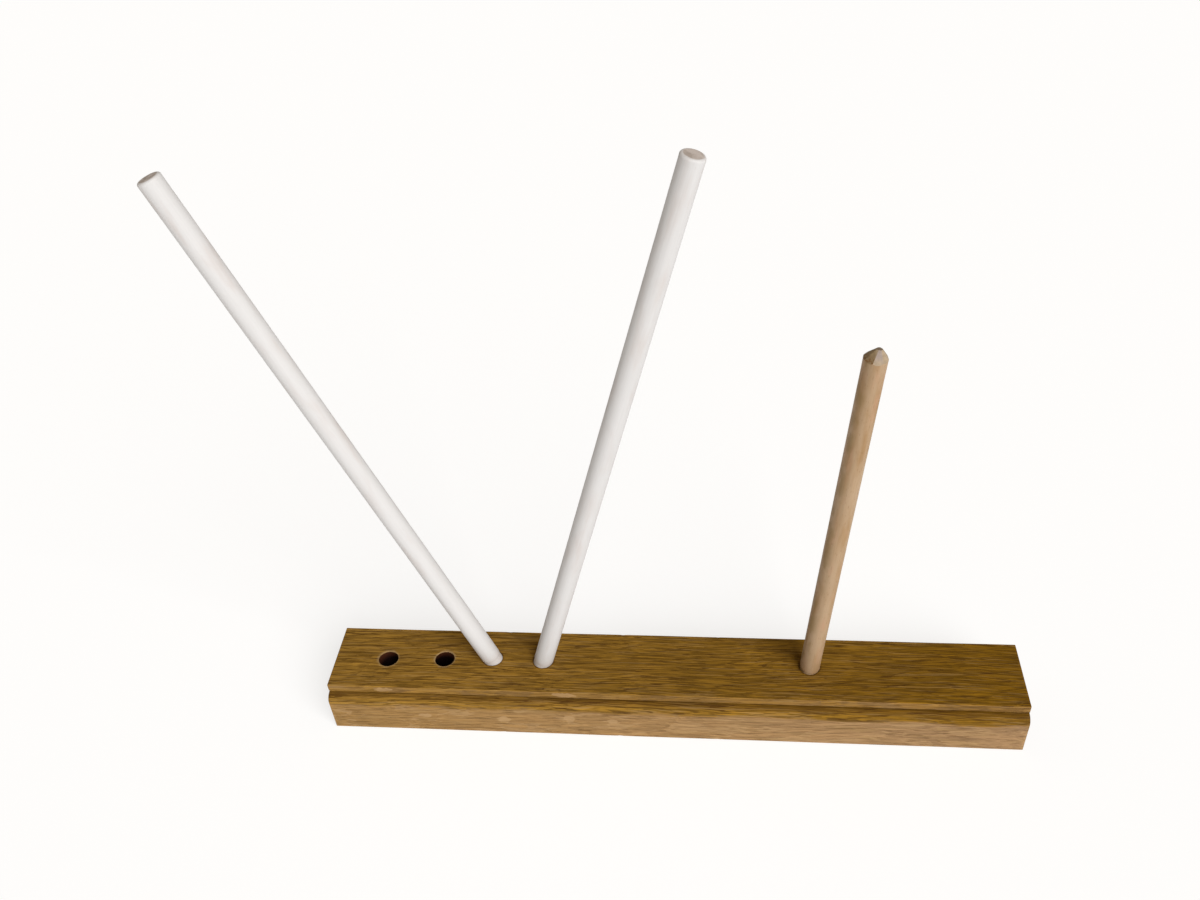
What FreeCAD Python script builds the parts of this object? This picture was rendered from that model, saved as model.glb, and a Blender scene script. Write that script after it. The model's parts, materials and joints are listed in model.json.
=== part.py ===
import FreeCAD, Part
import math
import os

import Sketcher
from FreeCAD import Placement, Rotation, Vector

# Frame: +X along the block to the right, +Y to its back, +Z up. The origin is the centre of
# the block's bottom face. A lean is the angle from +Z towards +X, in degrees.

# The driving dimensions, in millimetres and degrees.
SIZES = [
    ("block_length", 350.0, "oak moulding, along X"),
    ("block_depth", 43.0, "back face to front face, along Y"),
    ("block_height", 29.0, "bottom face to top face"),
    ("lip_setback", 4.0, "lip behind the front face"),
    ("lip_height", 4.5, "square lip along the top of the front"),
    ("quirk_depth", 0.8, "groove under the lip, behind it"),
    ("quirk_height", 0.7, "groove under the lip"),
    ("ovolo_radius", 4.3, "quarter round below the quirk"),
    ("arris_radius", 0.5, "sanded long edges"),
    ("end_radius", 0.3, "sanded edges of the sawn ends"),
    ("mouth_radius", 0.25, "eased mouths of the holes"),
    ("hole_diameter", 9.75, "blind holes for the dowels' feet"),
    ("dowel_diameter", 10.0, "both dowels and the peg"),
    ("foot_diameter", 9.6, "sanded foot that lifts out of its hole"),
    ("foot_margin", 0.6, "how far the foot reaches past the mouth's high side"),
    ("dowel_length", 300.0, "white dowels"),
    ("dowel_end_radius", 1.1, "rounded ends of the white dowels"),
    ("peg_length", 207.0, "pointed peg, foot to point"),
    ("peg_foot_radius", 0.8, "rounded foot of the peg"),
    ("point_height", 5.6, "cone at the top of the peg"),
    ("point_width", 4.2, "how far the cone comes in from the side"),
    ("tip_radius", 0.5, "blunted tip of the cone"),
]

# Each hole: x and y where its axis meets the top face, its lean, and its depth along the axis.
HOLES = {
    "spare_left": (-147.0, 1.0, -19.6, 12.5),
    "spare_right": (-116.8, 1.9, 16.1, 12.5),
    "left_dowel": (-91.8, 3.3, -19.6, 12.0),
    "right_dowel": (-64.9, 2.6, 16.1, 12.4),
    "pointed_peg": (70.9, 3.2, 4.5, 12.4),
}
HOLE_SIZES = ["x", "y", "lean", "depth"]
ABOVE_MOUTH = 5.0          # how far a hole's cutter stands out of the top face
TOUCH = 1e-6               # two places nearer than this are the same
VOLUME_TOLERANCE = 0.01    # largest share by which a cut may miss its expected volume


def sheet_rows():
    """Every driving dimension: the general ones, then each hole's."""
    rows = list(SIZES)
    for hole, values in HOLES.items():
        for kind, value in zip(HOLE_SIZES, values):
            rows.append((f"{hole}_{kind}", value, f"{hole} hole"))
    return rows


def add_sheet(doc):
    sheet = doc.addObject("Spreadsheet::Sheet", "sizes")
    for row, (alias, value, note) in enumerate(sheet_rows(), start=1):
        sheet.set(f"A{row}", alias)
        sheet.set(f"B{row}", str(value))
        sheet.setAlias(f"B{row}", alias)
        sheet.set(f"C{row}", note)
    doc.recompute()


def add_body(doc, name):
    body = doc.addObject("PartDesign::Body", name)
    body.Label = name
    return body


def add_sketch(body, role, name):
    """A sketch on the body's own origin plane of that role."""
    sketch = body.newObject("Sketcher::SketchObject", name)
    plane = next(item for item in body.Origin.OriginFeatures if item.Role == role)
    sketch.AttachmentSupport = [(plane, "")]
    sketch.MapMode = "FlatFace"
    return sketch


def bind(sketch, constraint, expression):
    """Add a sketch constraint and tie its value to the sheet."""
    index = sketch.addConstraint(constraint)
    sketch.setExpression(f"Constraints[{index}]", expression)


def add_outline(sketch, points, closed=True):
    """Straight lines from point to point, joined at their ends; gives their numbers."""
    ends = points[1:] + points[:1] if closed else points[1:]
    lines = []
    for start, end in zip(points, ends):
        segment = Part.LineSegment(Vector(*start, 0), Vector(*end, 0))
        lines.append(sketch.addGeometry(segment, False))
    for line, following in zip(lines, lines[1:]):
        sketch.addConstraint(Sketcher.Constraint("Coincident", line, 2, following, 1))
    if closed:
        sketch.addConstraint(Sketcher.Constraint("Coincident", lines[-1], 2, lines[0], 1))
    return lines


def square_up(sketch, across, upright):
    for line in across:
        sketch.addConstraint(Sketcher.Constraint("Horizontal", line))
    for line in upright:
        sketch.addConstraint(Sketcher.Constraint("Vertical", line))


def add_block_profile(body, size):
    """The moulding's section: local x is the depth (Y), local y is the height (Z)."""
    sketch = add_sketch(body, "YZ_Plane", "block_profile")
    back = size["block_depth"] / 2
    front = -back
    lip = front + size["lip_setback"]
    top = size["block_height"]
    under_lip = top - size["lip_height"]
    shelf = under_lip - size["quirk_height"]
    inner = lip + size["quirk_depth"]
    centre = Vector(front + size["ovolo_radius"], shelf - size["ovolo_radius"], 0)
    corners = [
        (front, centre.y), (front, 0), (back, 0), (back, top), (lip, top),
        (lip, under_lip), (inner, under_lip), (inner, shelf), (centre.x, shelf),
    ]
    face, bottom, rear, upper, nose, ledge, wall, step = add_outline(sketch, corners, closed=False)
    square_up(sketch, across=[upper, ledge, step], upright=[face, rear, nose, wall])
    circle = Part.Circle(centre, Vector(0, 0, 1), size["ovolo_radius"])
    ovolo = sketch.addGeometry(Part.ArcOfCircle(circle, math.pi / 2, math.pi), False)
    sketch.addConstraint(Sketcher.Constraint("Tangent", step, 2, ovolo, 1))
    sketch.addConstraint(Sketcher.Constraint("Tangent", ovolo, 2, face, 1))
    sketch.addConstraint(Sketcher.Constraint("PointOnObject", bottom, 1, -1))
    sketch.addConstraint(Sketcher.Constraint("Symmetric", bottom, 1, bottom, 2, -2))
    constraint = Sketcher.Constraint
    bind(sketch, constraint("DistanceX", bottom, 1, bottom, 2, 2 * back), "sizes.block_depth")
    bind(sketch, constraint("DistanceY", rear, 1, rear, 2, top), "sizes.block_height")
    bind(sketch, constraint("DistanceX", face, 1, nose, 2, lip - front), "sizes.lip_setback")
    bind(sketch, constraint("DistanceY", nose, 2, nose, 1, top - under_lip), "sizes.lip_height")
    bind(sketch, constraint("DistanceX", ledge, 1, ledge, 2, inner - lip), "sizes.quirk_depth")
    bind(sketch, constraint("DistanceY", wall, 2, wall, 1, under_lip - shelf), "sizes.quirk_height")
    bind(sketch, constraint("Radius", ovolo, size["ovolo_radius"]), "sizes.ovolo_radius")
    return sketch


def add_block_pad(body, sketch):
    pad = body.newObject("PartDesign::Pad", "moulding")
    pad.Profile = sketch
    pad.SideType = "Symmetric"
    pad.setExpression("Length", "sizes.block_length")
    sketch.Visibility = False
    return pad


def add_hole(body, name, size):
    """A blind hole: half its section, turned about the hole's own leaning axis."""
    sketch = add_sketch(body, "XZ_Plane", f"{name}_section")
    sketch.AttachmentOffset = Placement(Vector(), Rotation(Vector(0, 0, 1), 1.0))
    sketch.setExpression("AttachmentOffset.Base.x", f"sizes.{name}_x")
    sketch.setExpression("AttachmentOffset.Base.y", "sizes.block_height")
    sketch.setExpression("AttachmentOffset.Base.z", f"-sizes.{name}_y")
    sketch.setExpression("AttachmentOffset.Rotation.Angle", f"-sizes.{name}_lean")
    radius = size["hole_diameter"] / 2
    depth = size[f"{name}_depth"]
    corners = [(0, -depth), (radius, -depth), (radius, ABOVE_MOUTH), (0, ABOVE_MOUTH)]
    floor, wall, cap, axis = add_outline(sketch, corners)
    square_up(sketch, across=[floor, cap], upright=[wall])
    sketch.addConstraint(Sketcher.Constraint("PointOnObject", axis, 1, -2))
    sketch.addConstraint(Sketcher.Constraint("PointOnObject", axis, 2, -2))
    constraint = Sketcher.Constraint
    bind(sketch, constraint("DistanceX", floor, 1, floor, 2, radius), "sizes.hole_diameter / 2")
    bind(sketch, constraint("DistanceY", floor, 1, -1, 1, depth), f"sizes.{name}_depth")
    sketch.addConstraint(constraint("DistanceY", -1, 1, cap, 2, ABOVE_MOUTH))
    groove = body.newObject("PartDesign::Groove", f"{name}_hole")
    groove.Profile = sketch
    groove.ReferenceAxis = (sketch, ["V_Axis"])
    groove.Angle = 360.0
    sketch.Visibility = False
    return groove


def edges_where(shape, wanted):
    """Names of the edges of a shape that pass a test."""
    return [f"Edge{number}" for number, edge in enumerate(shape.Edges, start=1) if wanted(edge)]


def add_fillet(body, base, names, radius, name):
    fillet = body.newObject("PartDesign::Fillet", name)
    fillet.Base = (base, names)
    fillet.setExpression("Radius", radius)
    return fillet


def is_mouth(edge, top):
    """A closed edge lying in the top face."""
    box = edge.BoundBox
    return edge.isClosed() and abs(box.ZMin - top) < TOUCH and abs(box.ZMax - top) < TOUCH


def is_long_arris(edge, size):
    """A full-length outer edge: the two bottom ones, the back top one and the lip's top one."""
    box = edge.BoundBox
    at_level = box.ZMax < TOUCH or box.ZMin > size["block_height"] - TOUCH
    return at_level and box.XLength > size["block_length"] - TOUCH


def is_end_edge(edge, size):
    """An edge of a sawn end that lies on the top, bottom, back or front face."""
    box = edge.BoundBox
    at_end = abs(abs(box.Center.x) - size["block_length"] / 2) < TOUCH and box.XLength < TOUCH
    straight = edge.Curve.TypeId == "Part::GeomLine"
    return at_end and straight and edge.Length > 2 * size["lip_height"]


def check_cut(before, after, expected, name):
    """Stop if a hole took away anything but its own volume."""
    removed = before - after
    if abs(removed - expected) > VOLUME_TOLERANCE * expected:
        raise RuntimeError(f"{name} removed {removed:.1f} mm3 in place of {expected:.1f} mm3")


def build_block(doc, size):
    body = add_body(doc, "base_block")
    newest = add_block_pad(body, add_block_profile(body, size))
    doc.recompute()
    section_area = math.pi * (size["hole_diameter"] / 2) ** 2
    for name in HOLES:
        expected = section_area * size[f"{name}_depth"]
        before = newest.Shape.Volume
        newest = add_hole(body, name, size)
        doc.recompute()
        check_cut(before, newest.Shape.Volume, expected, name)
    mouths = edges_where(newest.Shape, lambda edge: is_mouth(edge, size["block_height"]))
    if len(mouths) != len(HOLES):
        raise RuntimeError(f"{len(mouths)} mouths found for {len(HOLES)} holes")
    newest = add_fillet(body, newest, mouths, "sizes.mouth_radius", "eased_mouths")
    doc.recompute()
    arrises = edges_where(newest.Shape, lambda edge: is_long_arris(edge, size))
    newest = add_fillet(body, newest, arrises, "sizes.arris_radius", "long_arrises")
    doc.recompute()
    ends = edges_where(newest.Shape, lambda edge: is_end_edge(edge, size))
    newest = add_fillet(body, newest, ends, "sizes.end_radius", "end_arrises")
    doc.recompute()
    return body


def stand_in_hole(body, name):
    """Put a body's foot on the floor of its hole, leaning as the hole does."""
    body.Placement = Placement(Vector(), Rotation(Vector(0, 1, 0), 1.0))
    lean = f"sizes.{name}_lean * 1 deg"
    across = f"sizes.{name}_x - sizes.{name}_depth * sin({lean})"
    height = f"sizes.block_height - sizes.{name}_depth * cos({lean})"
    body.setExpression("Placement.Base.x", across)
    body.setExpression("Placement.Base.y", f"sizes.{name}_y")
    body.setExpression("Placement.Base.z", height)
    body.setExpression("Placement.Rotation.Angle", f"sizes.{name}_lean")


def add_cylinder(body, part_name, diameter, start, length):
    """A round pad about the body's Z axis; its sizes are expressions of the sheet."""
    sketch = add_sketch(body, "XY_Plane", f"{body.Name}_{part_name}_section")
    sketch.setExpression("AttachmentOffset.Base.z", start)
    circle = sketch.addGeometry(Part.Circle(Vector(), Vector(0, 0, 1), 1.0), False)
    sketch.addConstraint(Sketcher.Constraint("Coincident", circle, 3, -1, 1))
    bind(sketch, Sketcher.Constraint("Diameter", circle, 2.0), diameter)
    pad = body.newObject("PartDesign::Pad", f"{body.Name}_{part_name}")
    pad.Profile = sketch
    pad.setExpression("Length", length)
    sketch.Visibility = False
    return pad


def add_shaft(body, name, length):
    """A dowel standing on its own XY plane: the slightly thinner foot, then the shaft."""
    slope = f"abs(tan(sizes.{name}_lean * 1 deg))"
    foot = f"sizes.{name}_depth + sizes.dowel_diameter / 2 * {slope} + sizes.foot_margin"
    add_cylinder(body, "foot", "sizes.foot_diameter", "0 mm", foot)
    return add_cylinder(body, "shaft", "sizes.dowel_diameter", foot, f"{length} - ({foot})")


def rim_names(shape, height):
    """The round edge of a shaft at one height."""
    def at_height(edge):
        box = edge.BoundBox
        return abs(box.ZMin - height) < TOUCH and abs(box.ZMax - height) < TOUCH
    return edges_where(shape, at_height)


def build_dowel(doc, name, size):
    """A white dowel with both ends rounded over."""
    body = add_body(doc, name)
    shaft = add_shaft(body, name, "sizes.dowel_length")
    doc.recompute()
    rims = rim_names(shaft.Shape, 0) + rim_names(shaft.Shape, size["dowel_length"])
    add_fillet(body, shaft, rims, "sizes.dowel_end_radius", f"{name}_ends")
    stand_in_hole(body, name)
    doc.recompute()
    return body


def build_peg(doc, name, size):
    """The shorter peg: a rounded foot and a blunt cone at the top."""
    body = add_body(doc, name)
    shaft = add_shaft(body, name, "sizes.peg_length")
    doc.recompute()
    point = body.newObject("PartDesign::Chamfer", f"{name}_point")
    point.Base = (shaft, rim_names(shaft.Shape, size["peg_length"]))
    point.ChamferType = "Two distances"
    point.setExpression("Size", "sizes.point_height")
    point.setExpression("Size2", "sizes.point_width")
    doc.recompute()
    foot = add_fillet(body, point, rim_names(point.Shape, 0), "sizes.peg_foot_radius", f"{name}_foot")
    doc.recompute()
    tip_rim = rim_names(foot.Shape, size["peg_length"])
    add_fillet(body, foot, tip_rim, "sizes.tip_radius", f"{name}_tip")
    stand_in_hole(body, name)
    doc.recompute()
    return body


def check_document(doc):
    """Stop if any object of the document failed."""
    for item in doc.Objects:
        if "Invalid" in item.State or "Error" in item.State:
            raise RuntimeError(f"{item.Name} failed: {item.State}")


def check_body(body):
    shape = body.Shape
    if shape.isNull() or not shape.isValid() or len(shape.Solids) != 1:
        raise RuntimeError(f"{body.Label} is not one valid solid")


def export(bodies):
    os.makedirs("parts", exist_ok=True)
    for body in bodies:
        body.Shape.exportStep(f"parts/{body.Label}.step")
        box = body.Shape.optimalBoundingBox()
        print(f"{body.Label}: {body.Shape.Volume:.0f} mm3, {len(body.Shape.Faces)} faces,",
              f"x {box.XMin:.2f} to {box.XMax:.2f}, y {box.YMin:.2f} to {box.YMax:.2f},",
              f"z {box.ZMin:.2f} to {box.ZMax:.2f}")


def main():
    doc = FreeCAD.newDocument("loom_base")
    add_sheet(doc)
    size = {alias: value for alias, value, note in sheet_rows()}
    bodies = [
        build_block(doc, size),
        build_dowel(doc, "left_dowel", size),
        build_dowel(doc, "right_dowel", size),
        build_peg(doc, "pointed_peg", size),
    ]
    doc.recompute()
    check_document(doc)
    for body in bodies:
        check_body(body)
    export(bodies)


main()
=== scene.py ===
import json
import math

import bmesh
import bpy
from mathutils import Matrix, Vector, noise


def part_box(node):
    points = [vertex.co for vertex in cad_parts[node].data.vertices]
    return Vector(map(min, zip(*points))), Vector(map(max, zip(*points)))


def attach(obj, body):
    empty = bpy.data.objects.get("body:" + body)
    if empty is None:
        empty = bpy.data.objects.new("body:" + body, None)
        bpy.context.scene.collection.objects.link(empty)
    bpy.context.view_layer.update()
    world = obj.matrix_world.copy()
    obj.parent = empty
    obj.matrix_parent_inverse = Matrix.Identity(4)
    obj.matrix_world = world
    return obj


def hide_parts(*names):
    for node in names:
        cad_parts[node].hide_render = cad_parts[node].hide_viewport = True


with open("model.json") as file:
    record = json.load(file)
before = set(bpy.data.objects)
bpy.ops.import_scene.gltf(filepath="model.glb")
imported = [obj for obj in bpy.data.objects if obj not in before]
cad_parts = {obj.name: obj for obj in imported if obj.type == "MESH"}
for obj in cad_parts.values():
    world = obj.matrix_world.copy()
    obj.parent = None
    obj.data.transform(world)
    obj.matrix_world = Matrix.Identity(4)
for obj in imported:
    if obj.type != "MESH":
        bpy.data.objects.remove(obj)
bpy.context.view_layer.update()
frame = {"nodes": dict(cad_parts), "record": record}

# Frame: metres, +X along the block to the right, +Y to its back, +Z up, origin at the centre of
# the block's bottom face. Meshes are made in millimetres and scaled once, by MM.
MM = 0.001
MOUNTS = {mount["name"]: mount for mount in frame["record"]["mounts"]}
BLOCK_LOW, BLOCK_HIGH = [Vector(corner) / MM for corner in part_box("base_block")]

# The moulding's section, in millimetres.
LIP_SETBACK = 4.0
LIP_HEIGHT = 4.5
LIP_EDGE_RADIUS = 0.25
QUIRK_DEPTH = 0.8
QUIRK_HEIGHT = 0.7
QUIRK_RADIUS = 0.12
OVOLO_RADIUS = 4.3
ARRIS_RADIUS = 0.5
END_RADIUS = 0.3

# Places on the section that follow from it, in millimetres.
LIP_FACE = BLOCK_LOW.y + LIP_SETBACK
UNDER_LIP = BLOCK_HIGH.z - LIP_HEIGHT
SHELF = UNDER_LIP - QUIRK_HEIGHT

# How finely the block is meshed.
SECTION_RUNS = [14, 2, 2, 2, 5, 30, 16, 22]      # cuts of each side, front face first
STATION_SPACING = 1.25                           # mm between sections along the block
END_STEPS = 4
BLOCK_SHARP_ANGLE = 30                           # degrees, as for the shafts below

# The holes and the shafts, in millimetres.
EMPTY_HOLES = ["spare_left_hole", "spare_right_hole"]
SHAFTS = ["left_dowel", "right_dowel", "pointed_peg"]
HOLE_RADIUS = MOUNTS["spare_left_hole"]["dims"]["r_mm"]
MOUTH_RADIUS = 0.35
MOUTH_RAGGEDNESS = 0.35
SPUR_RADIUS = 1.4       # the dimple that the drill's centre point leaves
SPUR_DEPTH = 0.9
CUTTER_RISE = 3.0       # how far the cutter stands out of the block's top
HOLE_SIDES = 72
HOLE_RINGS = 16
FLARE_STEPS = 5
FOOT_RADIUS = 4.8
FOOT_MARGIN = 0.6
FOOT_STEPS = 6
SHOULDER_LENGTH = 0.5
DOWEL_END_RADIUS = 1.1
DOWEL_END_STEPS = 10
PEG_FOOT_RADIUS = 0.8
SHAFT_SIDES = 96
SHAFT_SPACING = 1.5
SHAFT_RIPPLE = 0.03
SHAFT_RIPPLE_LENGTH = 9.0
DOWEL_SHARP_ANGLE = 40
PEG_SHARP_ANGLE = 35

# How far the marks written on the block reach, in millimetres: full up to the first distance,
# gone at the second.
ARRIS_FADE = (0.3, 1.1)
RIM_FADE = (0.2, 0.6)
MOUTH_MARGIN = 0.1
BORE_MARGIN = 0.03

# The facets whittled on the peg's point: the way each faces (degrees from +X towards +Y), how far
# it slopes from level (degrees), and how far below the very top it leaves the shaft's side (mm).
FACETS = [
    (-88, 51, 5.3),
    (-134, 48, 5.3),
    (-44, 53, 4.9),
    (2, 55, 4.9),
    (46, 53, 5.1),
    (98, 51, 5.4),
    (140, 46, 5.1),
    (-174, 46, 5.1),
]
BLUNT_FACING = Vector((0.12, -0.05, 1)).normalized()
BLUNT_DROP = 0.12       # how far below the very top the blunt end is cut, mm
POINT_REACH = 7.0       # the point lies within this of the top, mm
FACET_EASE = 0.42       # mm
CREASE_ANGLE = math.radians(9)

# Camera: place, and the angles of its line of sight.
CAMERA_PLACE = Vector((0.0239, -0.360, 0.4698))
CAMERA_HEADING = math.radians(-7.92)     # from +Y towards +X
CAMERA_PITCH = math.radians(39.26)       # below level
CAMERA_ROLL = math.radians(-4.62)
CAMERA_LENS = 32.82                      # mm
CAMERA_SENSOR = 36.0                     # mm, its width
CAMERA_REACH = 50.0                      # m


# ---------------------------------------------------------------- mesh helpers

def finish_mesh(name, mesh_data, sharp_angle):
    """A smooth-shaded object at the origin from a bmesh in millimetres."""
    bmesh.ops.recalc_face_normals(mesh_data, faces=mesh_data.faces)
    mesh = bpy.data.meshes.new(name)
    mesh_data.to_mesh(mesh)
    mesh_data.free()
    mesh.transform(Matrix.Scale(MM, 4))
    mesh.shade_smooth()
    mesh.set_sharp_from_angle(angle=math.radians(sharp_angle))
    piece = bpy.data.objects.new(name, mesh)
    bpy.context.collection.objects.link(piece)
    return piece


def join_rings(mesh_data, rings):
    """Quads between rings of vertices, each ring closed on itself."""
    for ring, following in zip(rings, rings[1:]):
        count = len(ring)
        for index in range(count):
            after = (index + 1) % count
            mesh_data.faces.new((ring[index], ring[after], following[after], following[index]))


def quarter_turn(steps):
    """Angles from 0 to a right angle, in equal steps."""
    return [math.pi / 2 * step / steps for step in range(steps + 1)]


def around(sides):
    """Angles right round, in equal steps."""
    return [2 * math.pi * side / sides for side in range(sides)]


def smooth_step(value, low, high):
    """0 up to low, 1 from high, smooth between."""
    share = min(max((value - low) / (high - low), 0.0), 1.0)
    return share * share * (3 - 2 * share)


# ---------------------------------------------------------------- the moulded block

def section_corners(inset, wear):
    """The section's corners, clockwise from the front bottom one: (y, z, radius, arc steps).

    wear is how much more than usual the arrises are rounded here, in millimetres."""
    low, high = BLOCK_LOW, BLOCK_HIGH
    quirk_back = LIP_FACE + QUIRK_DEPTH
    arris = ARRIS_RADIUS + wear
    corners = [
        (low.y, low.z, arris, 5),
        (low.y, SHELF, OVOLO_RADIUS, 14),
        (quirk_back, SHELF, -QUIRK_RADIUS, 2),
        (quirk_back, UNDER_LIP, -QUIRK_RADIUS, 2),
        (LIP_FACE, UNDER_LIP, LIP_EDGE_RADIUS + wear / 2, 4),
        (LIP_FACE, high.z, arris, 6),
        (high.y, high.z, arris, 6),
        (high.y, low.z, arris, 5),
    ]
    return inset_corners(corners, inset)


def inward_normals(corners):
    """For each corner, the inward normals of the sides before and after it."""
    count = len(corners)
    sides = []
    for index in range(count):
        start = Vector(corners[index][:2])
        end = Vector(corners[(index + 1) % count][:2])
        along = (end - start).normalized()
        sides.append(Vector((along.y, -along.x)))
    return [(sides[index - 1], sides[index]) for index in range(count)]


def inset_corners(corners, inset):
    """The same corners with every side moved in by inset."""
    moved = []
    for (y, z, radius, steps), (before, after) in zip(corners, inward_normals(corners)):
        place = Vector((y, z)) + inset * (before + after)
        moved.append((place.x, place.y, radius - inset, steps))
    return moved


def section_points(corners, runs):
    """The rounded outline: an arc at each corner, then the side after it cut into its run."""
    arcs = []
    for (y, z, radius, steps), (before, after) in zip(corners, inward_normals(corners)):
        centre = Vector((y, z)) + radius * (before + after)
        turn = quarter_turn(steps)
        outward = [math.cos(angle) * before + math.sin(angle) * after for angle in turn]
        arcs.append([centre - radius * direction for direction in outward])
    points = []
    for index, arc in enumerate(arcs):
        points += arc
        start = arc[-1]
        end = arcs[(index + 1) % len(arcs)][0]
        points += [start.lerp(end, step / runs[index]) for step in range(1, runs[index])]
    return points


def arris_wear(x):
    """How much rounder the arrises are at one place along the block: handling and small chips."""
    handled = 0.22 * noise.noise(Vector((x / 31, 4.7, 0.3)))
    bruised = max(noise.noise(Vector((x / 5.5, 1.9, 8.1))) - 0.42, 0) * 1.6
    return handled + bruised


def block_stations():
    """(x, inset) along the block, with the two ends' edges rounded over."""
    left = []
    for turn in reversed(quarter_turn(END_STEPS)):
        x = BLOCK_LOW.x + END_RADIUS * (1 - math.sin(turn))
        left.append((x, END_RADIUS * (1 - math.cos(turn))))
    start = BLOCK_LOW.x + END_RADIUS
    length = BLOCK_HIGH.x - END_RADIUS - start
    count = round(length / STATION_SPACING)
    middle = [(start + length * step / count, 0.0) for step in range(1, count)]
    right = [(-x, inset) for x, inset in reversed(left)]
    return left + middle + right


def add_moulding(mesh_data):
    """The block's closed outer skin: one section at each station, and the two end faces."""
    rings = []
    for x, inset in block_stations():
        wear = arris_wear(x) if inset == 0 else 0.0
        corners = section_corners(inset, wear)
        points = section_points(corners, SECTION_RUNS)
        rings.append([mesh_data.verts.new((x, point.x, point.y)) for point in points])
    join_rings(mesh_data, rings)
    mesh_data.faces.new(rings[0])
    mesh_data.faces.new(rings[-1])


# ---------------------------------------------------------------- the holes

def shaft_line(name):
    """The foot of a shaft, its axis and its length, from its mount and its CAD mesh."""
    mount = MOUNTS[f"{name}_shaft"]
    point = Vector(mount["pos_m"])
    axis = Vector(mount["axis"])
    along = [axis.dot(vertex.co - point) for vertex in frame["nodes"][name].data.vertices]
    return (point + axis * min(along)) / MM, axis, (max(along) - min(along)) / MM


def empty_lines():
    """(floor centre, axis) of each empty hole. Its mount lies halfway down it."""
    lines = []
    for name in EMPTY_HOLES:
        middle = Vector(MOUNTS[name]["pos_m"]) / MM
        axis = Vector(MOUNTS[name]["axis"])
        lines.append((middle - axis * (BLOCK_HIGH.z - middle.z) / axis.z, axis))
    return lines


def filled_lines():
    """(floor centre, axis) of each hole that holds a shaft, which stands on its floor."""
    return [shaft_line(name)[:2] for name in SHAFTS]


def mouth_raggedness(floor, angle):
    """How much wider or narrower than usual a hole's mouth is eased in one direction."""
    place = Vector((floor.x, 2 * math.cos(angle), 2 * math.sin(angle)))
    return 1 + MOUTH_RAGGEDNESS * noise.noise(place)


def add_bore(mesh_data, floor, axis):
    """A closed cutter: floor with a centre dimple, leaning wall, eased mouth, straight above."""
    across = Vector((axis.z, 0, -axis.x))
    back = Vector((0, 1, 0))
    angles = around(HOLE_SIDES)
    outward = [across * math.cos(angle) + back * math.sin(angle) for angle in angles]
    feet = [floor + direction * HOLE_RADIUS for direction in outward]
    ease_level = BLOCK_HIGH.z - MOUTH_RADIUS
    tops = [foot + axis * (ease_level - foot.z) / axis.z for foot in feet]

    def ring(places):
        return [mesh_data.verts.new(place) for place in places]

    rings = [ring([floor + direction * SPUR_RADIUS for direction in outward])]
    for step in range(HOLE_RINGS + 1):
        share = step / HOLE_RINGS
        rings.append(ring([foot.lerp(top, share) for foot, top in zip(feet, tops)]))
    for turn in quarter_turn(FLARE_STEPS)[1:]:
        rise = Vector((0, 0, MOUTH_RADIUS * math.sin(turn)))
        places = []
        for angle, direction, top in zip(angles, outward, tops):
            ragged = mouth_raggedness(floor, angle)
            flat = Vector((direction.x, direction.y, 0)).normalized()
            spread = flat * MOUTH_RADIUS * ragged * (1 - math.cos(turn))
            places.append(top + rise + spread)
        rings.append(ring(places))
    rings.append(ring([vertex.co + Vector((0, 0, CUTTER_RISE)) for vertex in rings[-1]]))
    join_rings(mesh_data, rings)
    mesh_data.faces.new(rings[-1])
    spur = mesh_data.verts.new(floor - axis * SPUR_DEPTH)
    for index in range(HOLE_SIDES):
        mesh_data.faces.new((rings[0][index], rings[0][(index + 1) % HOLE_SIDES], spur))


def cut_holes(block):
    """Drill the five holes out of the block, exactly."""
    cutters = bmesh.new()
    for floor, axis in empty_lines() + filled_lines():
        add_bore(cutters, floor, axis)
    cutter = finish_mesh("hole_cutter", cutters, BLOCK_SHARP_ANGLE)
    cut = block.modifiers.new("holes", "BOOLEAN")
    cut.operation = "DIFFERENCE"
    cut.solver = "EXACT"
    cut.object = cutter
    graph = bpy.context.evaluated_depsgraph_get()
    drilled = bpy.data.meshes.new_from_object(block.evaluated_get(graph))
    block.modifiers.clear()
    block.data = drilled
    bpy.data.objects.remove(cutter)
    drilled.shade_smooth()
    drilled.set_sharp_from_angle(angle=math.radians(BLOCK_SHARP_ANGLE))


# ---------------------------------------------------------------- marks for the block's material

def off_axis(place, line):
    """How far a point lies from a hole's axis, in millimetres."""
    floor, axis = line
    offset = place - floor
    return (offset - axis * axis.dot(offset)).length


def bore_depth(place, lines):
    """How far down a hole's wall or floor a point lies, in millimetres, or 0 outside the holes."""
    nearest = min(off_axis(place, line) for line in lines)
    return max(BLOCK_HIGH.z - place.z, 0.0) if nearest < HOLE_RADIUS + BORE_MARGIN else 0.0


def rim_share(place, lines):
    """1 on the eased mouth of one of these holes, falling to 0 just outside it."""
    if BLOCK_HIGH.z - place.z > MOUTH_RADIUS + MOUTH_MARGIN:
        return 0.0
    middle = HOLE_RADIUS + MOUTH_RADIUS / 2
    nearest = min(abs(off_axis(place, line) - middle) for line in lines)
    return 1 - smooth_step(nearest, *RIM_FADE)


def arris_share(place):
    """1 on an arris of the block, falling to 0 about a millimetre away from it."""
    low, high = BLOCK_LOW, BLOCK_HIGH
    arrises = [
        (low.y, low.z), (LIP_FACE, high.z), (high.y, high.z), (high.y, low.z), (LIP_FACE, UNDER_LIP),
    ]
    nearest = min(math.hypot(place.y - y, place.z - z) for y, z in arrises)
    to_end = high.x - abs(place.x)
    to_side = min(place.z - low.z, high.z - place.z, place.y - low.y, high.y - place.y)
    nearest = min(nearest, math.hypot(to_end, max(to_side, 0)))
    return 1 - smooth_step(nearest, *ARRIS_FADE)


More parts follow.
